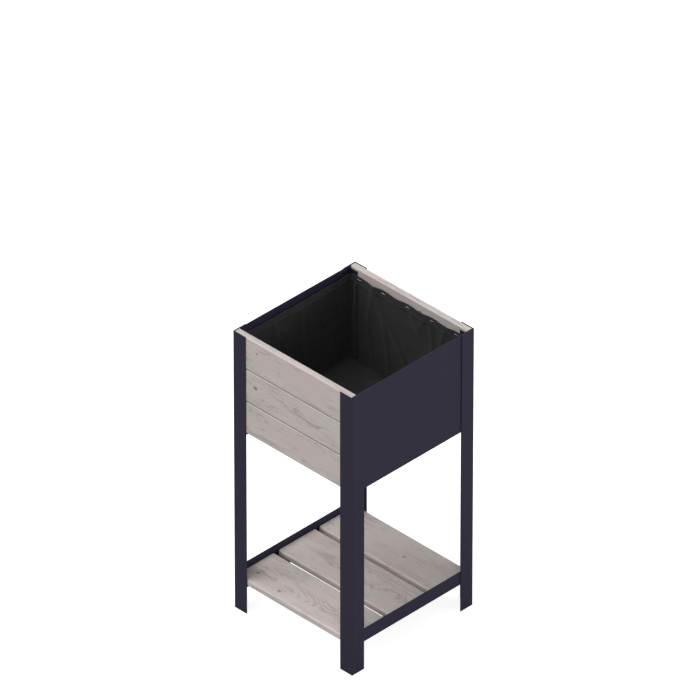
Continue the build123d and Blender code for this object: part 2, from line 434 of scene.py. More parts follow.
def zinc(groups):
    """Zinc plate on the screws and staples."""
    material, shader, place = new_material("Zinc plate")
    tone = mottled(groups, place, 200.0, 1200.0)
    fill_sockets(shader, {
        "Base Color": blend(tone, (0.42, 0.43, 0.45, 1.0), (0.68, 0.69, 0.70, 1.0)),
        "Roughness": tone.spread(0.3, 0.7, 0.30, 0.48, smooth=False),
        "Metallic": 1.0,
    })
    raise_surface(shader, tone, 0.00004, 0.4)
    return material


def felt(settings, groups):
    """Black needle-punched felt: short tangled fibres, no weave."""
    material, shader, place = new_material("Liner felt")
    tone = mottled(groups, place, 16.0, 240.0)
    fibres = place.speckle(1100.0, detail=3.0, roughness=0.7, distortion=1.6)
    lint = fibres.spread(0.58, 0.74)
    colour = blend(tone, opaque(settings.colour, 0.70), opaque(settings.colour, 1.35))
    colour = blend(lint * 0.35, colour, opaque(settings.colour, 4.0))
    fill_sockets(shader, {
        "Base Color": dusted(groups, place, 0.05, colour),
        "Roughness": 0.95,
        "Specular IOR Level": 0.15,
        "Sheen Weight": 0.08,
        "Sheen Roughness": 0.6,
    })
    clumps = place.speckle(320.0, detail=4.0, roughness=0.65)
    raise_surface(shader, fibres * 0.5 + clumps * 0.5, 0.0006, 0.7)
    return material


def thread():
    """Black polyester thread of the hem."""
    material, shader, place = new_material("Hem thread")
    twist = Output(add(place.tree, "ShaderNodeTexWave", {"Vector": place, "Scale": 900.0, "Distortion": 2.0}))
    colour = blend(twist, (0.020, 0.020, 0.021, 1.0), (0.060, 0.060, 0.062, 1.0))
    fill_sockets(shader, {"Base Color": colour, "Roughness": 0.55})
    raise_surface(shader, twist, 0.0001, 0.6)
    return material


def plank_random(seed, step):
    """Three numbers from 0 to 1 that differ from plank to plank."""
    noise_node = add(seed.tree, "ShaderNodeTexWhiteNoise", {"W": seed + step}, noise_dimensions="1D")
    return Output(noise_node, "Color").parts()


def knot_group():
    """One knot through a plank: its body, its dark rim, and how far it pushes the grain aside."""
    tree, given, end = new_group("Knot", {"Vector": ZERO, "Seed": 0.0, "Radius": 0.004},
                                 ["Knot", "Rim", "Push"])
    chance = plank_random(given["Seed"], 0.37)
    size = plank_random(given["Seed"], 5.91)
    x, y, z = given["Vector"].parts()
    wobble = given["Vector"].speckle(150.0, detail=4.0) - 0.5
    along = x - chance[0].within(-0.19, 0.19) + z * size[1].within(-0.6, 0.6)
    across = y - chance[1].within(-0.046, 0.046)
    slim = across * size[2].within(1.1, 2.1)
    far = (along * along + slim * slim).calc("SQRT") + wobble * 0.0032
    radius = given["Radius"] * size[0].spread(0.45, 1.0, 0.02, 1.45, smooth=False)
    ratio = far / radius
    reach = ratio.spread(0.6, 7.0, 1.0, 0.0)
    fill_sockets(end, {
        "Knot": ratio.spread(0.55, 1.25, 1.0, 0.0),
        "Rim": ratio.spread(0.45, 0.95) * ratio.spread(1.0, 1.7, 1.0, 0.0),
        "Push": reach * reach * radius,
    })
    return tree


def figure_group(knot):
    """Softwood figure inside a plank: growth rings, fibres, knots and patches of tone."""
    tree, given, end = new_group(
        "Softwood figure", {"Vector": ZERO, "Seed": 0.0, "Ring": 0.0046, "Knot size": 0.0052},
        ["Rings", "Fibres", "Streaks", "Knots", "Rims", "Show", "Patches", "Plank", "Flecks"],
    )
    place = given["Vector"]
    seed = given["Seed"]
    chance = plank_random(seed, 0.0)
    shift = combined(tree, *chance).vector("SCALE", {"Scale": 40.0})
    moved = place.vector("ADD", {1: shift})

    found = [use_group(tree, knot, {"Vector": place, "Seed": seed + 11.0 * step,
                                    "Radius": given["Knot size"]}) for step in (1, 2, 3)]
    knots, rims = (
        found[0][label].calc("MAXIMUM", found[1][label]).calc("MAXIMUM", found[2][label])
        for label in ("Knot", "Rim")
    )
    push = found[0]["Push"] + found[1]["Push"] + found[2]["Push"]

    x, y, z = place.parts()
    bend = moved.streak(4.4, 11.0, 2.0) - 0.5
    ripple = moved.streak(14.0, 60.0, 2.0) - 0.5
    lean = x * chance[2].within(-0.06, 0.06)
    off_y = y - chance[0].within(-0.050, 0.050) - lean
    off_z = z - chance[1].within(-0.055, -0.022) - lean + bend * 0.062
    far = (off_y.calc("POWER", 2.0) + off_z.calc("POWER", 2.0)).calc("SQRT")
    far = far + ripple * 0.0040 + push * 1.6
    turn = (far / given["Ring"]).calc("FRACT")
    late = turn.spread(0.30, 0.86) * turn.spread(0.90, 1.0, 1.0, 0.0)
    lines = moved.streak(7.0, 400.0, 3.0, 0.6).spread(0.55, 0.64)
    dashes = moved.streak(60.0, 380.0, 2.0, 0.5).spread(0.60, 0.68)
    crowd = moved.streak(15.0, 32.0).spread(0.55, 0.66)
    fill_sockets(end, {
        "Rings": (late * 0.75).calc("MAXIMUM", lines),
        "Fibres": moved.streak(42.0, 1500.0, 3.0, 0.6),
        "Streaks": moved.streak(5.0, 190.0, 4.0, 0.6),
        "Knots": knots,
        "Rims": rims,
        "Show": moved.streak(6.0, 22.0, 2.0, 0.6).spread(0.45, 0.62),
        "Patches": moved.streak(9.0, 24.0, 2.0, 0.5),
        "Plank": chance[2],
        "Flecks": dashes * crowd,
    })
    return tree


def stained_wood(settings, groups):
    """Planed softwood under a thin grey stain, its figure laid out along each plank, with a painted highlight
    on its rounded edges and painted shade on the faces where boards meet.
    """
    material, shader, place = new_material("Grey-stained softwood")
    tree = place.tree
    space = stored(tree, "plank_space", "Vector")
    figure = use_group(tree, groups["figure"], {"Vector": space, "Seed": stored(tree, "plank_seed")})
    stain, grain, knot = settings.stain, settings.grain, settings.knot
    pink = (stain[0] * 1.04, stain[1] * 0.965, stain[2] * 0.975, 1.0)
    lichen = (stain[0] * 0.915, stain[1] * 0.965, stain[2] * 0.915, 1.0)
    ring = figure["Rings"] * figure["Show"].spread(0.0, 1.0, 0.04, 0.92)
    ring = ring * figure["Fibres"].spread(0.30, 0.62, 0.35, 1.0)
    layers = (
        (figure["Patches"].spread(0.44, 0.62), pink),
        (figure["Patches"].spread(0.46, 0.30), lichen),
        (figure["Plank"].spread(0.0, 1.0, 0.0, 0.16), opaque(stain, 0.72)),
        (figure["Fibres"].spread(0.50, 0.74, 0.0, 0.26), opaque(grain, 0.95)),
        (figure["Streaks"].spread(0.50, 0.70, 0.0, 0.30), opaque(stain, 1.18)),
        (ring, opaque(grain)),
        (figure["Flecks"] * 0.75, opaque(knot, 1.3)),
        (figure["Knots"] * 0.80, opaque(knot, 1.5)),
        (figure["Rims"] * 0.75, opaque(knot, 0.8)),
        # Painted highlight: the rounded edges made lighter, as if they caught the overhead light.
        (stored(tree, "plank_edge") * 0.65, opaque(stain, 1.32)),
        (stored(tree, "plank_end") * 0.45, opaque(grain, 1.05)),
        # Painted shade: the narrow faces where boards meet made dark, as if the gap between them lay in
        # shadow.
        (stored(tree, "plank_joint") * 0.92, opaque(knot, 0.30)),
    )
    colour = opaque(stain)
    for share, over in layers:
        colour = blend(share, colour, over)
    fill_sockets(shader, {
        "Base Color": dusted(groups, place, 0.10, colour),
        "Roughness": figure["Fibres"].spread(0.3, 0.7, 0.66, 0.84, smooth=False),
        "Specular IOR Level": 0.30,
    })
    height = figure["Fibres"] * -0.45 + figure["Rings"] * 0.35 - figure["Knots"] * 0.5
    raise_surface(shader, height, 0.00035, 0.8)
    return material


def studio_floor(settings):
    """Plain pale floor, lit so evenly that only the faintest shadow is left on it."""
    material, shader, place = new_material("Studio floor")
    tone = place.speckle(3.0, detail=2.0)
    seen = Output(add(place.tree, "ShaderNodeLightPath"), "Is Camera Ray")
    fill_sockets(shader, {
        "Base Color": blend(tone, opaque(settings.floor, 0.995), opaque(settings.floor, 1.005)),
        "Emission Color": (1.0, 1.0, 1.0, 1.0),
        "Emission Strength": seen * settings.glow,
        "Roughness": 0.9,
        "Specular IOR Level": 0.0,
    })
    return material


LOOKS = {}


def looks():
    """Every material, made once."""
    if not LOOKS:
        scene = bpy.context.scene
        groups = {"mottle": mottle_group(), "dust": dust_group()}
        groups["figure"] = figure_group(knot_group())
        LOOKS["steel"] = powder_coat(scene.planter_steel, groups)
        LOOKS["wood"] = stained_wood(scene.planter_timber, groups)
        LOOKS["felt"] = felt(scene.planter_liner, groups)
        LOOKS["zinc"] = zinc(groups)
        LOOKS["thread"] = thread()
        LOOKS["floor"] = studio_floor(scene.planter_stage)
    return LOOKS


# ---------------------------------------------------------------- meshes
def outer_corner(low, high, face_x, face_y):
    """The corner of a box at its foot on those two sides."""
    return Vector((high.x if face_x > 0 else low.x, high.y if face_y > 0 else low.y, low.z))


def finish_piece(piece, nodes):
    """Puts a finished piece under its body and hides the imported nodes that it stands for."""
    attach(piece, BODY)
    if nodes:
        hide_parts(*nodes)


def link_mesh(name, mesh, material=None):
    """A piece with that mesh, put into the scene."""
    piece = bpy.data.objects.new(name, mesh)
    bpy.context.scene.collection.objects.link(piece)
    if material is not None:
        mesh.materials.append(material)
    return piece


def settle(piece):
    """Turns the result of the piece's modifiers into its own plain mesh."""
    graph = bpy.context.evaluated_depsgraph_get()
    mesh = bpy.data.meshes.new_from_object(
        piece.evaluated_get(graph), preserve_all_data_layers=True, depsgraph=graph
    )
    piece.modifiers.clear()
    spare = piece.data
    piece.data = mesh
    mesh.name = piece.name
    bpy.data.meshes.remove(spare)
    return piece


def even_steps(length, longest):
    """Evenly spaced places from 0 to length, no further apart than longest."""
    count = max(1, math.ceil(length / longest))
    return [length * i / count for i in range(count + 1)]


def edged_steps(length, longest):
    """Even steps with one more close to the end, where the cut edge is."""
    steps = even_steps(length, longest)
    return [*steps[:-1], length - CUT_MARGIN, length]


def finish_shape(shape, name):
    """Turns a built shape into a smooth mesh with its faces outward."""
    bmesh.ops.recalc_face_normals(shape, faces=shape.faces)
    mesh = bpy.data.meshes.new(name)
    shape.to_mesh(mesh)
    shape.free()
    mesh.shade_smooth()
    return mesh


def join_rows(shape, low, high, closed):
    """Faces between two rows of vertices."""
    count = len(low)
    for k in range(count if closed else count - 1):
        m = (k + 1) % count
        shape.faces.new((low[k], low[m], high[m], high[k]))


def tube(name, rings):
    """A closed tube through rings of points."""
    shape = bmesh.new()
    rows = [[shape.verts.new(spot) for spot in ring] for ring in rings]
    for low, high in zip(rows, rows[1:]):
        join_rows(shape, low, high, closed=True)
    shape.faces.new(rows[0])
    shape.faces.new(rows[-1])
    return finish_shape(shape, name)


def circle(sides):
    """The cosine and sine of each of so many even turns."""
    angles = [2 * math.pi * k / sides for k in range(sides)]
    return [(math.cos(angle), math.sin(angle)) for angle in angles]


def angle_stations(first, second, sheet, inside, outside, longest):
    """Outer and inner points across an angle with its outer corner at the origin.

    The first arm lies along the first axis and the second arm along the second axis.
    """
    reach = max(outside, sheet + inside)
    stations = []
    for step in reversed(edged_steps(first - reach, longest)):
        stations.append(((reach + step, 0.0), (reach + step, sheet)))
    turns = 8
    for i in range(turns + 1):
        angle = math.radians(270.0 - 90.0 * i / turns)
        ray = (math.cos(angle), math.sin(angle))
        outer = (outside + outside * ray[0], outside + outside * ray[1])
        inner = (sheet + inside + inside * ray[0], sheet + inside + inside * ray[1])
        stations.append((outer, inner))
    for step in edged_steps(second - reach, longest):
        stations.append(((0.0, reach + step), (sheet, reach + step)))
    return stations


def sheet_ripple(depth, length, height, toward, seed):
    """How far a broad flat stretch stands in from true: nothing at its edges, a little in its middle."""
    def ripple(first, second, along):
        edge = min(along, length - along, second, height - second)
        fade = max(0.0, min(1.0, (edge - 0.015) / 0.06))
        swell = max(0.0, 0.5 + noise.noise(Vector((along * 8.0, second * 8.0, seed))))
        return Vector((toward * depth * fade * swell, 0.0, 0.0))
    return ripple


def angle_piece(name, stations, length, place, settings, ripple=None, longest=0.012):
    """A steel angle: the stations across it, carried along its length, with eased cut edges."""
    shape = bmesh.new()
    cut = shape.verts.layers.float.new("steel_edge")
    rows = []
    steps = even_steps(length, longest)
    steps = [0.0, CUT_MARGIN, *steps[1:-1], length - CUT_MARGIN, length]
    for along in steps:
        row = []
        for k, (outer, inner) in enumerate(stations):
            pair = []
            for point in (outer, inner):
                spot = place(point[0], point[1], along)
                if ripple is not None:
                    spot += ripple(point[0], point[1], along)
                vertex = shape.verts.new(spot)
                vertex[cut] = 1.0 if along in (0.0, length) or k in (0, len(stations) - 1) else 0.0
                pair.append(vertex)
            row.append(pair)
        rows.append(row)
    for low, high in zip(rows, rows[1:]):
        for (a_out, a_in), (b_out, b_in), (c_out, c_in), (d_out, d_in) in zip(
            low, low[1:], high[1:], high
        ):
            shape.faces.new((a_out, b_out, c_out, d_out))
            shape.faces.new((d_in, c_in, b_in, a_in))
        for end in (0, -1):
            shape.faces.new((low[end][0], low[end][1], high[end][1], high[end][0]))
    for row in (rows[0], rows[-1]):
        for (a_out, a_in), (b_out, b_in) in zip(row, row[1:]):
            shape.faces.new((a_out, a_in, b_in, b_out))
    bmesh.ops.remove_doubles(shape, verts=shape.verts, dist=WELD)
    piece = link_mesh(name, finish_shape(shape, name), looks()["steel"])
    ease = piece.modifiers.new("Cut edges", "BEVEL")
    ease.width = settings.cut_edge
    ease.segments = 2
    ease.limit_method = "ANGLE"
    ease.angle_limit = math.radians(50)
    ease.harden_normals = True
    return settle(piece)


def upright(corner, turn_x, turn_y):
    """Places an angle's section with its outer corner at corner and its length along +Z."""
    def place(first, second, along):
        return Vector((corner.x + turn_x * first, corner.y + turn_y * second, corner.z + along))
    return place


def lying(corner, turn_x):
    """Places an angle's section in the XZ plane and its length along +Y."""
    def place(first, second, along):
        return Vector((corner.x + turn_x * first, corner.y + along, corner.z + second))
    return place


# ---------------------------------------------------------------- planks by geometry nodes
GEOMETRY = "NodeSocketGeometry"
PLANK_INPUTS = {
    "Geometry": GEOMETRY,
    "Length": 0.4,
    "Width": 0.1,
    "Thickness": 0.018,
    "Rounding": 0.003,
    "Relief": 0.0003,
    "Step along": 0.005,
    "Step round": 0.00125,
    # How much painted shade darkens a board's lower and upper narrow faces.
    "Joint low": 0.0,
    "Joint high": 0.0,
    "Seed": 0.0,
    "Turn": ZERO,
    "Centre": ZERO,
    "Material": "NodeSocketMaterial",
}
JOINT_SHADE_DEPTH = 0.0009  # how far onto a board's face the painted shade of its joint reaches


def geo(tree, kind, sockets=None, key=0, **options):
    """Adds a geometry node: its result."""
    return Output(add(tree, "GeometryNode" + kind, sockets, **options), key)


def keep(geometry, label, value, data_type="FLOAT", domain="POINT"):
    """Stores a value on the geometry under a name that the material reads."""
    sockets = {"Name": label, "Geometry": geometry, "Value": value}
    return geo(geometry.tree, "StoreNamedAttribute", sockets, data_type=data_type, domain=domain)


def finish_tree(tree, end, geometry, material):
    """Ends a tree with real geometry of that material."""
    real = geo(tree, "RealizeInstances", {"Geometry": geometry})
    painted = geo(tree, "SetMaterial", {"Geometry": real, "Material": material})
    fill_sockets(end, {"Geometry": painted})
    return tree


def plank_tree():
    """A planed plank along X: a rounded section carried along a line, then its raised grain."""
    tree, given, end = new_group("Planed plank", PLANK_INPUTS, ["Geometry"], "GeometryNodeTree")
    half = given["Length"] * 0.5
    ends = {"Start": combined(tree, half * -1.0), "End": combined(tree, half)}
    line = geo(tree, "CurvePrimitiveLine", ends)
    line = geo(tree, "ResampleCurve", {"Curve": line, "Length": given["Step along"]}, mode="LENGTH")
    section = geo(tree, "CurvePrimitiveQuadrilateral",
                  {"Width": given["Width"], "Height": given["Thickness"]}, mode="RECTANGLE")
    section = geo(tree, "FilletCurve",
                  {"Curve": section, "Radius": given["Rounding"], "Count": 6}, mode="POLY")
    section = geo(tree, "ResampleCurve", {"Curve": section, "Length": given["Step round"]}, mode="LENGTH")
    plank = geo(tree, "CurveToMesh", {"Curve": line, "Profile Curve": section, "Fill Caps": True})

    place = geo(tree, "InputPosition")
    facing = geo(tree, "InputNormal")
    plank = keep(plank, "plank_space", place, "FLOAT_VECTOR")
    plank = keep(plank, "plank_seed", given["Seed"])
    x, y, z = place.parts()
    half_width = given["Width"] * 0.5
    over_y = y.absolute() - (half_width - given["Rounding"])
    over_z = z.absolute() - (given["Thickness"] * 0.5 - given["Rounding"])
    rounded = over_y.calc("MINIMUM", over_z).calc("DIVIDE", given["Rounding"], clamp=True)
    # Mask of the rounded edges, kept for the material's painted highlight.
    plank = keep(plank, "plank_edge", rounded)
    # Painted shade on the narrow faces that meet a neighbouring board, the lower and upper face each as dark
    # as given.
    upper = y.calc("GREATER_THAN", 0.0)
    lower = upper.calc("LESS_THAN", 0.5)
    side = upper * given["Joint high"] + lower * given["Joint low"]
    narrow = (y.absolute() - (half_width - JOINT_SHADE_DEPTH)).spread(0.0, 0.0008)
    plank = keep(plank, "plank_joint", narrow * side)
    sawn = facing.parts()[0].absolute().calc("GREATER_THAN", 0.9)
    plank = keep(plank, "plank_end", sawn, domain="FACE")

    moved = place.vector("ADD", {1: combined(tree, given["Seed"] * 3.7)})
    depth = moved.streak(9.0, 30.0) * 0.65 + moved.streak(14.0, 170.0, 2.0) * 0.35
    dents = moved.streak(60.0, 90.0).spread(0.66, 0.80)
    inward = (depth + dents * rounded) * given["Relief"] * -1.0
    push = facing.vector("SCALE", {"Scale": inward})
    plank = geo(tree, "SetPosition", {"Geometry": plank, "Offset": push})
    plank = geo(tree, "Transform",
                {"Geometry": plank, "Translation": given["Centre"], "Rotation": given["Turn"]})
    smooth = geo(tree, "InputNamedAttribute", {"Name": "plank_end"}, data_type="FLOAT")
    plank = geo(tree, "SetShadeSmooth",
                {"Geometry": plank, "Shade Smooth": smooth.calc("LESS_THAN", 0.5)}, domain="FACE")
    return finish_tree(tree, end, plank, given["Material"])


def run_tree(name, tree, values, mesh=None):
    """A new piece that is the result of a geometry node tree with those inputs, as a plain mesh."""
    piece = link_mesh(name, mesh or bpy.data.meshes.new(name))
    modifier = piece.modifiers.new(tree.name, "NODES")
    modifier.node_group = tree
    for item in tree.interface.items_tree:
        if item.item_type == "SOCKET" and item.in_out == "INPUT" and item.name in values:
            modifier[item.identifier] = values[item.name]
    return settle(piece)


TREES = {}


def tree_of(label, make):
    """The geometry node tree of that label, made once."""
    if label not in TREES:
        TREES[label] = make()
    return TREES[label]


def plank_piece(name, node, rounding, seed, on_edge, joints=(0.0, 0.0)):
    """A plank in the place of a packed board, standing on edge or lying flat.

    The joint values say how much painted shade darkens its lower and upper narrow faces where they meet a
    neighbour.
    """
    low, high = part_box(node)
    size = high - low
    timber = bpy.context.scene.planter_timber
    values = {
        "Length": size.x,
        "Width": size.z if on_edge else size.y,
        "Thickness": size.y if on_edge else size.z,
        "Rounding": rounding,
        "Relief": timber.relief,
        "Joint low": joints[0],
        "Joint high": joints[1],
        "Seed": float(seed),
        "Turn": (math.radians(90.0) if on_edge else 0.0, 0.0, 0.0),
        "Centre": tuple((low + high) / 2),
        "Material": looks()["wood"],
    }
    piece = run_tree(name, tree_of("plank", plank_tree), values)
    finish_piece(piece, [node])
    return piece


# ---------------------------------------------------------------- fasteners by geometry nodes
def copies_tree(name, inputs, lay):
    """A tree that lays one copy of its pattern on each of the points, turned as lay says."""
    inputs = {"Geometry": GEOMETRY, "Pattern": "NodeSocketObject", **inputs,
              "Material": "NodeSocketMaterial"}
    tree, given, end = new_group(name, inputs, ["Geometry"], "GeometryNodeTree")
    points, turned = lay(tree, given)
    pattern = geo(tree, "ObjectInfo", {"Object": given["Pattern"]}, key="Geometry")
    copies = geo(tree, "InstanceOnPoints", {"Points": points, "Instance": pattern, "Rotation": turned})
    return finish_tree(tree, end, copies, given["Material"])


def turned_to(tree, heading, axis):
    """The turn that lays an axis of a pattern along a heading."""
    return Output(add(tree, "FunctionNodeAlignRotationToVector", {"Vector": heading}, axis=axis))


def lay_fasteners(tree, given):
    """Stands each fastener along its point's direction, turned a little by chance about itself."""
    aim = geo(tree, "InputNamedAttribute", {"Name": "aim"}, data_type="FLOAT_VECTOR")
    spin = Output(add(tree, "FunctionNodeRandomValue", {"Seed": given["Seed"]}, data_type="FLOAT"), 1)
    angle = (spin - 0.5) * given["Spin"] * (2 * math.pi)
    own = Output(add(tree, "FunctionNodeAxisAngleToRotation", {"Axis": (0.0, 0.0, 1.0), "Angle": angle}))
    both = {"Rotation": turned_to(tree, aim, "Z"), "Rotate By": own}
    turned = Output(add(tree, "FunctionNodeRotateRotation", both, rotation_space="LOCAL"))
    return given["Geometry"], turned


def lay_stitches(tree, given):
    """Lays one stitch after another along the lines."""
    line = geo(tree, "MeshToCurve", {"Mesh": given["Geometry"]})
    line = geo(tree, "ResampleCurve", {"Curve": line, "Length": given["Pitch"]}, mode="LENGTH")
    return line, turned_to(tree, geo(tree, "InputTangent"), "X")


def fastener_tree():
    return copies_tree("Fasteners", {"Spin": 1.0, "Seed": 7}, lay_fasteners)


def stitch_tree():
    return copies_tree("Stitches", {"Pitch": 0.007}, lay_stitches)


def separate_solids(node):
    """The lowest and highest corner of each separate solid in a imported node."""
    shape = bmesh.new()
    shape.from_mesh(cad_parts[node].data)
    bmesh.ops.remove_doubles(shape, verts=shape.verts, dist=WELD)
    waiting = set(shape.verts)
    boxes = []
    while waiting:
        todo = [waiting.pop()]
        low = Vector(todo[0].co)
        high = Vector(todo[0].co)
        while todo:
            vertex = todo.pop()
            low = Vector(map(min, low, vertex.co))
            high = Vector(map(max, high, vertex.co))
            for edge in vertex.link_edges:
                other = edge.other_vert(vertex)
                if other in waiting:
                    waiting.remove(other)
                    todo.append(other)
        boxes.append((low, high))
    shape.free()
    return sorted(boxes, key=lambda box: tuple(round(c, 4) for c in box[0]))


def lathe(name, profile, sides):
    """A closed solid of revolution about Z from (radius, height) points that start and end on the axis."""
    shape = bmesh.new()
    rings = []
    for radius, height in profile:
        turns = circle(sides) if radius else [(0.0, 0.0)]
        rings.append([shape.verts.new((radius * x, radius * y, height)) for x, y in turns])
    for above, below in zip(rings, rings[1:]):
        for i in range(sides):
            j = (i + 1) % sides
            corners = [above[i % len(above)], above[j % len(above)], below[j % len(below)],
                       below[i % len(below)]]
            shape.faces.new(list(dict.fromkeys(corners)))
    return finish_shape(shape, name)


def screw_pattern(length, countersunk):
    """One wood screw, head at the origin and point along -Z, with its drive recess and its thread."""
    head = 0.004
    shank = 0.0017
    crest = 0.002
    recess = 0.00145
    flank = 0.0006
    lobes = 6
    lobe_depth = 0.14
    top = 0.0 if countersunk else PAN_HEIGHT
    profile = [(0.0, top - 0.0014), (recess * 0.9, top - 0.0013), (recess, top)]
    if countersunk:
        profile += [(head, top), (head, -0.0003), (crest, -0.002)]
    else:
        profile += [(0.0026, top), (0.0034, 0.0020), (0.0039, 0.0012), (head, 0.0004), (head, 0.0),
                    (crest, 0.0)]
    depth = -0.0025
    while depth > 0.0035 - length:
        profile += [(shank, depth), (crest, depth - flank), (shank, depth - 2 * flank)]
        depth -= 0.0018
    profile += [(shank, 0.003 - length), (0.0, -length)]
    mesh = lathe("screw_pattern", profile, 3 * lobes)
    for vertex in mesh.vertices:
        inside = vertex.co.z > top - 0.0015 and vertex.co.xy.length < recess * 1.1
        if inside and vertex.co.xy.length > 0.0:
            swell = 1.0 + lobe_depth * math.cos(lobes * math.atan2(vertex.co.y, vertex.co.x))
            vertex.co.x *= swell
            vertex.co.y *= swell
    mesh.set_sharp_from_angle(angle=math.radians(40))
    return mesh


def staple_pattern():
    """One wire staple with its crown along X at the origin and its legs along -Z, bent from round wire."""
    wire = STAPLE_WIRE
    half = 0.006 - wire
    leg = 0.0095
    bend = 0.0009
    path = [Vector((-half, 0.0, -leg))]
    for side, first in ((-1, 180), (1, 90)):
        centre = Vector((side * (half - bend), 0.0, wire - bend))
        for i in range(5):
            angle = math.radians(first - 22.5 * i)
            path.append(centre + Vector((bend * math.cos(angle), 0.0, bend * math.sin(angle))))
    path.append(Vector((half, 0.0, -leg)))
    side = Vector((0.0, 1.0, 0.0))
    rings = []
    for before, point, after in zip([path[0], *path], path, [*path[1:], path[-1]]):
        up = (after - before).normalized().cross(side)
        rings.append([point + wire * (across * side + over * up) for across, over in circle(8)])
    mesh = tube("staple_pattern", rings)
    mesh.set_sharp_from_angle(angle=math.radians(50))
    return mesh


def drop_pattern(model):
    """Takes a pattern away once its copies are made."""
    mesh = model.data
    bpy.data.objects.remove(model)
    bpy.data.meshes.remove(mesh)


def fastener_piece(name, node, pattern, heads, spin):
    """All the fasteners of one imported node. heads gives each one's head and the way out of it."""
    points = bpy.data.meshes.new(name)
    points.from_pydata([spot for spot, out in heads], [], [])
    aim = points.attributes.new("aim", "FLOAT_VECTOR", "POINT")
    for i, (spot, out) in enumerate(heads):
        aim.data[i].vector = out
    model = link_mesh(name + "_pattern", pattern, looks()["zinc"])
    values = {"Pattern": model, "Spin": spin, "Material": looks()["zinc"]}
    piece = run_tree(name, tree_of("fasteners", fastener_tree), values, points)
    drop_pattern(model)
    finish_piece(piece, [node])
    return piece


# ---------------------------------------------------------------- liner
LINER_STEP = 0.0055  # how far apart the liner's points are
STAPLE_REACH = 0.012  # how far from a wall a staple still holds it
STAPLE_SPREAD = 0.009  # a thumb's width
STAPLE_HALF_GAP = 0.042  # about half the way from one staple to the next
CORNER_REACH = 0.06  # how far from a corner the top edge stays up
SEAM_STEP = 0.006  # how far apart the points up a seam are
SEAM_FOOT = 0.012  # how far above the slats a seam starts


def rounded_place(x, y, half_x, half_y, radius):
    """Moves a point of a square-cornered rectangle onto the same one with rounded corners."""
    core_x = max(-(half_x - radius), min(half_x - radius, x))
    core_y = max(-(half_y - radius), min(half_y - radius, y))
    over_x = x - core_x
    over_y = y - core_y
    far = math.hypot(over_x, over_y)
    if abs(over_x) < 1e-9 or abs(over_y) < 1e-9:
        return x, y
    reach = max(abs(over_x), abs(over_y)) / far
    return core_x + over_x * reach, core_y + over_y * reach


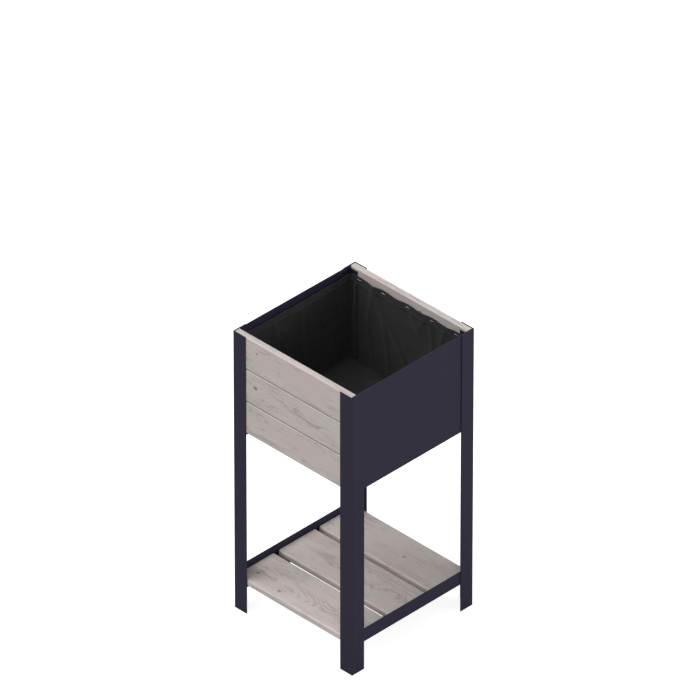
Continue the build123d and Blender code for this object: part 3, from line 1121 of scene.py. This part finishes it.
class LinerShape:
    """The liner's walls: a rounded box standing on the floor slats, with creases, and held by its staples."""

    def __init__(self, settings, low, high, staples):
        self.settings = settings
        half_felt = settings.felt / 2
        self.half_x = (high.x - low.x) / 2 - half_felt
        self.half_y = (high.y - low.y) / 2 - half_felt
        self.base = low.z + half_felt
        self.top = high.z - half_felt
        self.staples = staples

    def inward(self, x, y):
        """The level direction from a wall point towards the inside."""
        core_x = max(-(self.half_x - self.settings.corner), min(self.half_x - self.settings.corner, x))
        core_y = max(-(self.half_y - self.settings.corner), min(self.half_y - self.settings.corner, y))
        away = Vector((x - core_x, y - core_y))
        return -away.normalized()

    def pinch(self, x, y, z):
        """1 at a staple, falling to 0 a thumb's width away."""
        held = 0.0
        for spot in self.staples:
            if spot.y * y > 0 and abs(abs(y) - abs(spot.y)) < STAPLE_REACH:
                far = ((x - spot.x) ** 2 + (z - spot.z) ** 2) / (2 * STAPLE_SPREAD ** 2)
                held = max(held, math.exp(-far))
        return held

    def slack(self, x, y):
        """0 at a staple or corner and 1 half-way between, for the top edge."""
        at = 1.0
        for spot in self.staples:
            if spot.y * y > 0 and abs(abs(y) - abs(spot.y)) < STAPLE_REACH:
                at = min(at, abs(x - spot.x) / STAPLE_HALF_GAP)
        reach_x = self.half_x - abs(x)
        reach_y = self.half_y - abs(y)
        corner = max(reach_x, reach_y) / CORNER_REACH
        return math.sin(0.5 * math.pi * min(at, corner, 1.0)) ** 2

    def spot(self, x, y, height, inset):
        """A point of the wall over the outline point x, y, so high above the floor and so far in."""
        crease = self.settings.crease
        share = min(1.0, max(0.0, height / (self.top - self.base)))
        rise = min(1.0, height / 0.05)
        placed = rounded_place(x, y, self.half_x, self.half_y, self.settings.corner)
        inward = self.inward(*placed)
        sample = Vector((x, y, height))
        belly = 0.5 + 0.5 * noise.noise(Vector((x * 7.0, y * 7.0, height * 5.0 + 4.0)))
        fold = noise.noise(Vector((x * 17.0, y * 17.0, height * 5.5 + 9.0)))
        ridge = max(0.0, 1.0 - abs(fold) / 0.16) ** 2
        cross = noise.noise(Vector((x * 9.0 + 5.0, y * 9.0, height * 24.0)))
        shallow = max(0.0, 1.0 - abs(cross) / 0.12) ** 2
        rough = 0.5 + 0.5 * noise.noise(sample * 70.0)
        depth = crease * (0.55 * belly + 0.75 * ridge + 0.35 * shallow + 0.10 * rough) * rise
        slack = self.slack(*placed)
        near_top = share ** 6
        depth *= 1.0 - near_top * (1.0 - 0.75 * slack)
        held = self.pinch(*placed, self.base + height)
        depth = depth * (1.0 - held) + inset * (1.0 - 0.45 * held)
        drop = self.settings.sag * slack * near_top
        return Vector((placed[0] + inward.x * depth, placed[1] + inward.y * depth,
                       self.base + height - drop))

    def outline(self, pitch):
        """The wall line's places along X and along Y, before its corners are rounded."""
        count_x = round(2 * self.half_x / pitch)
        count_y = round(2 * self.half_y / pitch)
        xs = [-self.half_x + 2 * self.half_x * i / count_x for i in range(count_x + 1)]
        ys = [-self.half_y + 2 * self.half_y * i / count_y for i in range(count_y + 1)]
        return xs, ys

    def rings(self, pitch):
        """How far in and how high each ring of the wall is, up to the fold of the hem and down its inside."""
        settings = self.settings
        tall = self.top - self.base
        turn = settings.floor_bend
        rings = []
        for i in range(1, 5):
            angle = math.radians(22.5 * i)
            rings.append((turn - turn * math.sin(angle), turn - turn * math.cos(angle)))
        fold = 0.55 * settings.felt
        for step in even_steps(tall - fold - turn, pitch)[1:]:
            rings.append((0.0, turn + step))
        for i in range(1, 5):
            angle = math.radians(45.0 * i)
            rings.append((fold - fold * math.cos(angle), tall - fold + fold * math.sin(angle)))
        for step in even_steps(settings.hem - fold, pitch)[1:]:
            rings.append((2 * fold, tall - fold - step))
        return rings


def felt_piece(name, mesh, thickness, nodes):
    """A sheet of points made as thick as the felt, half to each side."""
    piece = link_mesh(name, mesh, looks()["felt"])
    thicken = piece.modifiers.new("Felt", "SOLIDIFY")
    thicken.thickness = thickness
    thicken.offset = 0.0
    finish_piece(settle(piece), nodes)
    return piece


def ring_keys(count_x, count_y):
    """Grid places round the floor's edge, in order."""
    keys = [(i, 0) for i in range(count_x)]
    keys += [(count_x, j) for j in range(count_y)]
    keys += [(i, count_y) for i in range(count_x, 0, -1)]
    keys += [(0, j) for j in range(count_y, 0, -1)]
    return keys


def liner_mesh(shape, gaps):
    """The liner's sheet: a floor that dips into the gaps between the slats, walls, and a turned hem."""
    settings = shape.settings
    xs, ys = shape.outline(LINER_STEP)
    turn = settings.floor_bend
    inner_x = shape.half_x - turn
    inner_y = shape.half_y - turn
    radius = max(settings.corner - turn, 0.003)
    build = bmesh.new()
    grid = {}
    for i, x in enumerate(xs):
        for j, y in enumerate(ys):
            flat = rounded_place(x * inner_x / shape.half_x, y * inner_y / shape.half_y, inner_x, inner_y,
                                 radius)
            edge = min(inner_x - abs(flat[0]), inner_y - abs(flat[1]))
            loose = min(1.0, edge / 0.03)
            dip = max(math.exp(-(((flat[1] - gap) / 0.0045) ** 2)) for gap in gaps)
            lift = 0.5 + 0.5 * noise.noise(Vector((flat[0] * 11.0, flat[1] * 11.0, 2.0)))
            fold = noise.noise(Vector((flat[0] * 8.0 + 3.0, flat[1] * 15.0, 7.0)))
            ridge = max(0.0, 1.0 - abs(fold) / 0.10) ** 2
            height = loose * (0.0009 * lift + 0.0022 * ridge * (1.0 - dip) - 0.0016 * dip)
            grid[i, j] = build.verts.new((*flat, shape.base + height))
    for i in range(len(xs) - 1):
        for j in range(len(ys) - 1):
            build.faces.new((grid[i, j], grid[i + 1, j], grid[i + 1, j + 1], grid[i, j + 1]))
    keys = ring_keys(len(xs) - 1, len(ys) - 1)
    below = [grid[key] for key in keys]
    for inset, height in shape.rings(LINER_STEP):
        above = [build.verts.new(shape.spot(xs[i], ys[j], height, inset)) for i, j in keys]
        join_rows(build, below, above, closed=True)
        below = above
    return finish_shape(build, "liner_sheet")


def seam_mesh(shape):
    """The four corner seams: a folded allowance that lies against the front and back walls."""
    settings = shape.settings
    build = bmesh.new()
    top = shape.top - shape.base - settings.hem + 0.002
    across = [settings.corner + settings.seam * part for part in (0.0, 0.08, 0.30, 0.55, 0.80, 0.94, 1.0)]
    lifts = (0.2, 1.0, 1.25, 1.1, 1.25, 1.0, 0.2)
    for turn_x in SIDES.values():
        for turn_y in WALLS.values():
            rows = []
            for height in even_steps(top - SEAM_FOOT, SEAM_STEP):
                row = []
                for far, lift in zip(across, lifts):
                    sample = Vector((turn_x * 3.0, turn_y * 5.0, height * 40.0 + far * 90.0))
                    wave = 0.35 * noise.noise(sample)
                    inset = settings.felt * (0.5 + (lift + wave) * 1.1)
                    x = turn_x * (shape.half_x - far)
                    spot = shape.spot(x, turn_y * shape.half_y, SEAM_FOOT + height, inset)
                    row.append(build.verts.new(spot))
                rows.append(row)
            for low, high in zip(rows, rows[1:]):
                join_rows(build, low, high, closed=False)
    build.normal_update()
    return finish_shape(build, "liner_seams")


def stitch_pattern(length, thread_radius):
    """One stitch along X: a thread that dips into the felt at both ends."""
    rings = []
    for part in (-1.0, -0.8, -0.4, 0.0, 0.4, 0.8, 1.0):
        swell = thread_radius * (0.35 + 0.65 * math.sqrt(max(0.0, 1.0 - part ** 4)))
        rings.append([(part * length / 2, swell * across, swell * over) for across, over in circle(6)])
    return tube("stitch_pattern", rings)


def line_mesh(name, lines):
    """Lines of points as loose edges. A line whose last point is its first is closed."""
    points = []
    edges = []
    for line in lines:
        first = len(points)
        closed = line[0] == line[-1]
        kept = line[:-1] if closed else line
        points += kept
        edges += [(first + k, first + k + 1) for k in range(len(kept) - 1)]
        if closed:
            edges.append((first + len(kept) - 1, first))
    mesh = bpy.data.meshes.new(name)
    mesh.from_pydata(points, edges, [])
    return mesh


# ---------------------------------------------------------------- operators
class PLANTER_OT_legs(bpy.types.Operator):
    """Cuts the four legs from angle bar"""

    bl_idname = "planter.legs"
    bl_label = "Legs"

    def execute(self, context):
        steel = context.scene.planter_steel
        for wall, face_y in WALLS.items():
            for side, face_x in SIDES.items():
                node = f"leg_{wall}_{side}"
                low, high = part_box(node)
                size = high - low
                corner = outer_corner(low, high, face_x, face_y)
                stations = angle_stations(size.x, size.y, steel.sheet, steel.bar_inside, steel.bar_outside,
                                          0.010)
                place = upright(corner, -face_x, -face_y)
                leg = angle_piece(f"{wall}_{side}_leg", stations, size.z, place, steel)
                finish_piece(leg, [node])
        return {"FINISHED"}


class PLANTER_OT_sides(bpy.types.Operator):
    """Folds the two steel sides of the box and the two rails of the shelf"""

    bl_idname = "planter.sides"
    bl_label = "Steel sides and rails"

    def execute(self, context):
        steel = context.scene.planter_steel
        for kind, label in (("side_panel", "side_sheet"), ("shelf_rail", "rail")):
            for side, face_x in SIDES.items():
                node = f"{kind}_{side}"
                low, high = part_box(node)
                size = high - low
                corner = outer_corner(low, high, face_x, -1)
                stations = angle_stations(size.x, size.z, steel.sheet, steel.fold_inside, steel.fold_outside,
                                          0.012)
                ripple = sheet_ripple(steel.ripple, size.y, size.z, -face_x, face_x + size.z)
                place = lying(corner, -face_x)
                sheet = angle_piece(f"{side}_{label}", stations, size.y, place, steel, ripple)
                finish_piece(sheet, [node])
        return {"FINISHED"}


class PLANTER_OT_cleats(bpy.types.Operator):
    """Coats the four drilled corner cleats"""

    bl_idname = "planter.cleats"
    bl_label = "Corner cleats"

    def execute(self, context):
        for wall in WALLS:
            for side in SIDES:
                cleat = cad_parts[f"corner_cleat_{wall}_{side}"]
                for k in range(len(cleat.material_slots)):
                    cleat.material_slots[k].material = looks()["steel"]
        return {"FINISHED"}


class PLANTER_OT_boards(bpy.types.Operator):
    """Planes the six wall boards"""

    bl_idname = "planter.boards"
    bl_label = "Wall boards"

    def execute(self, context):
        rounding = context.scene.planter_timber.wall_rounding
        for k, wall in enumerate(WALLS):
            for m, row in enumerate(("bottom", "middle", "top")):
                seed = 3 + 10 * k + 7 * m
                # Painted shade where boards meet: each board's lower narrow face darker than its upper one,
                # and the top board's upper face left plain.
                joints = (0.8 if m == 0 else 1.0, 0.0 if m == 2 else 0.5)
                plank_piece(f"{wall}_{row}_plank", f"{wall}_board_{row}", rounding, seed, True, joints)
        return {"FINISHED"}


class PLANTER_OT_shelf(bpy.types.Operator):
    """Planes the three shelf boards"""

    bl_idname = "planter.shelf"
    bl_label = "Shelf boards"

    def execute(self, context):
        rounding = context.scene.planter_timber.shelf_rounding
        for k, row in enumerate(("front", "middle", "back")):
            plank_piece(f"shelf_{row}_plank", f"shelf_board_{row}", rounding, 44 + 9 * k, on_edge=False)
        return {"FINISHED"}


class PLANTER_OT_slats(bpy.types.Operator):
    """Planes the four slats of the box's floor"""

    bl_idname = "planter.slats"
    bl_label = "Floor slats"

    def execute(self, context):
        rounding = context.scene.planter_timber.slat_rounding
        for k in FLOOR_SLATS:
            plank_piece(f"floor_plank_{k}", f"floor_slat_{k}", rounding, 80 + 6 * k, on_edge=False)
        return {"FINISHED"}


class PLANTER_OT_screws(bpy.types.Operator):
    """Drives every wood screw"""

    bl_idname = "planter.screws"
    bl_label = "Screws"

    def execute(self, context):
        for wall, face_y in WALLS.items():
            node = f"{wall}_board_screws"
            heads = []
            for low, high in separate_solids(node):
                middle = (low + high) / 2
                length = high.y - low.y
                face = low.y if face_y > 0 else high.y
                heads.append((Vector((middle.x, face, middle.z)), Vector((0.0, -face_y, 0.0))))
            pattern = screw_pattern(length, countersunk=True)
            fastener_piece(f"{wall}_screw_row", node, pattern, heads, 1.0)
        for node, label in (("shelf_screws", "shelf_screw_row"), ("floor_screws", "floor_screw_row")):
            heads = []
            for low, high in separate_solids(node):
                middle = (low + high) / 2
                length = high.z - low.z - PAN_HEIGHT
                heads.append((Vector((middle.x, middle.y, low.z + PAN_HEIGHT)), Vector((0.0, 0.0, -1.0))))
            fastener_piece(label, node, screw_pattern(length, countersunk=False), heads, 1.0)
        return {"FINISHED"}


def staple_places():
    """The middle of each packed staple's crown, and the way out of the board."""
    heads = []
    for low, high in separate_solids("liner_staples"):
        inner = high.y if high.y < 0 else low.y
        out = Vector((0.0, 1.0 if inner < 0 else -1.0, 0.0))
        crown = Vector(((low.x + high.x) / 2, inner, (low.z + high.z) / 2))
        heads.append((crown - out * STAPLE_WIRE, out))
    return heads


class PLANTER_OT_liner(bpy.types.Operator):
    """Folds, creases and sews the felt liner"""

    bl_idname = "planter.liner"
    bl_label = "Liner"

    def execute(self, context):
        settings = context.scene.planter_liner
        low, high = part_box("liner")
        shape = LinerShape(settings, low, high, [crown for crown, out in staple_places()])
        slats = [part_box(f"floor_slat_{k}") for k in FLOOR_SLATS]
        slats.sort(key=lambda box: box[0].y)
        gaps = [(first[1].y + second[0].y) / 2 for first, second in zip(slats, slats[1:])]
        liner = felt_piece("felt_liner", liner_mesh(shape, gaps), settings.felt, ["liner"])
        seams = felt_piece("liner_seams", seam_mesh(shape), settings.felt, [])

        tall = shape.top - shape.base
        xs, ys = shape.outline(LINER_STEP)
        keys = ring_keys(len(xs) - 1, len(ys) - 1)
        over_hem = 1.1 * settings.felt + 0.5 * settings.felt
        hem = []
        for i, j in keys:
            hem.append(shape.spot(xs[i], ys[j], tall - settings.hem + 0.005, over_hem))
        lines = [[*hem, hem[0]]]
        for face_x in SIDES.values():
            for face_y in WALLS.values():
                x = face_x * (shape.half_x - settings.corner - 0.55 * settings.seam)
                heights = even_steps(tall - settings.hem - 0.016, SEAM_STEP)
                lines.append([shape.spot(x, face_y * shape.half_y, 0.014 + height, 2.3 * settings.felt)
                              for height in heights])
        pattern = stitch_pattern(0.62 * settings.stitch, 0.00042)
        stitch = link_mesh("stitch_pattern", pattern, looks()["thread"])
        values = {"Pattern": stitch, "Pitch": settings.stitch, "Material": looks()["thread"]}
        stitches = run_tree("liner_stitches", tree_of("stitches", stitch_tree), values,
                            line_mesh("liner_stitches", lines))
        drop_pattern(stitch)
        finish_piece(stitches, [])

        return {"FINISHED"}


class PLANTER_OT_staples(bpy.types.Operator):
    """Shoots the staples that hold the liner"""

    bl_idname = "planter.staples"
    bl_label = "Staples"

    def execute(self, context):
        fastener_piece("staple_row", "liner_staples", staple_pattern(), staple_places(), 0.03)
        return {"FINISHED"}


class PLANTER_OT_stage(bpy.types.Operator):
    """Lays the floor and sets the light and the camera"""

    bl_idname = "planter.stage"
    bl_label = "Stage"

    def execute(self, context):
        scene = context.scene
        settings = scene.planter_stage
        half = 600.0
        mesh = bpy.data.meshes.new("studio_floor")
        mesh.from_pydata([(-half, -half, 0), (half, -half, 0), (half, half, 0), (-half, half, 0)], [],
                         [(0, 1, 2, 3)])
        link_mesh("studio_floor", mesh, looks()["floor"])

        world = bpy.data.worlds.new("Studio")
        world.use_nodes = True
        tree = world.node_tree
        tree.nodes.clear()
        seen = Output(add(tree, "ShaderNodeLightPath"), "Is Camera Ray")
        strength = seen.within(settings.sky, settings.backdrop)
        sky = add(tree, "ShaderNodeBackground", {"Color": (1.0, 1.0, 1.0, 1.0), "Strength": strength})
        add(tree, "ShaderNodeOutputWorld", {"Surface": Output(sky)})
        scene.world = world

        wide = settings.softness
        for label, power, toward, angle in (("Softbox", settings.key, settings.key_from, wide),
                                            ("Fill", settings.fill, settings.fill_from, 0.5 * wide)):
            light = bpy.data.lights.new(label, "SUN")
            light.energy = power
            light.angle = angle
            lamp = bpy.data.objects.new(label, light)
            lamp.rotation_euler = Vector(toward).to_track_quat("Z", "Y").to_euler()
            scene.collection.objects.link(lamp)

        camera = bpy.data.cameras.new("Camera")
        camera.lens = settings.lens
        camera.sensor_width = 36.0
        camera.clip_start = 0.1
        camera.clip_end = 2000.0
        view = bpy.data.objects.new("Camera", camera)
        turn = settings.azimuth
        rise = settings.elevation
        back = Vector((math.sin(turn) * math.cos(rise), -math.cos(turn) * math.cos(rise), math.sin(rise)))
        right = Vector((math.cos(turn), math.sin(turn), 0.0))
        up = back.cross(right)
        middle = Vector((0.0, 0.0, WIDTH)) + right * settings.aim_right + up * settings.aim_up
        turned = Matrix((right, up, back)).transposed().to_4x4()
        view.matrix_world = Matrix.Translation(middle + back * settings.distance) @ turned
        scene.collection.objects.link(view)
        scene.camera = view
        scene.view_settings.view_transform = "Standard"
        scene.view_settings.look = "None"
        return {"FINISHED"}


OPERATORS = (
    PLANTER_OT_stage, PLANTER_OT_legs, PLANTER_OT_sides, PLANTER_OT_cleats, PLANTER_OT_boards,
    PLANTER_OT_shelf, PLANTER_OT_slats, PLANTER_OT_screws, PLANTER_OT_liner, PLANTER_OT_staples,
)


class PLANTER_PT_pieces(bpy.types.Panel):
    """Lists what the planter is made of"""

    bl_idname = "PLANTER_PT_pieces"
    bl_label = "Raised planter"
    bl_space_type = "VIEW_3D"
    bl_region_type = "UI"
    bl_category = "Planter"

    def draw(self, context):
        for kind in OPERATORS:
            self.layout.operator(kind.bl_idname)
        for label in SETTINGS:
            group = getattr(context.scene, label)
            box = self.layout.box()
            for name in group.bl_rna.properties.keys():
                if name not in ("rna_type", "name"):
                    box.prop(group, name)


SETTINGS = {
    "planter_steel": PlanterSteel,
    "planter_timber": PlanterTimber,
    "planter_liner": PlanterLiner,
    "planter_stage": PlanterStage,
}


def register():
    for kind in (*SETTINGS.values(), *OPERATORS, PLANTER_PT_pieces):
        bpy.utils.register_class(kind)
    for label, kind in SETTINGS.items():
        setattr(bpy.types.Scene, label, bpy.props.PointerProperty(type=kind))


def unregister():
    for label in SETTINGS:
        delattr(bpy.types.Scene, label)
    for kind in (PLANTER_PT_pieces, *reversed(OPERATORS), *reversed(SETTINGS.values())):
        bpy.utils.unregister_class(kind)


def main():
    register()
    for kind in OPERATORS:
        getattr(bpy.ops.planter, kind.bl_idname.split(".")[1])()


if __name__ == "__main__":
    main()
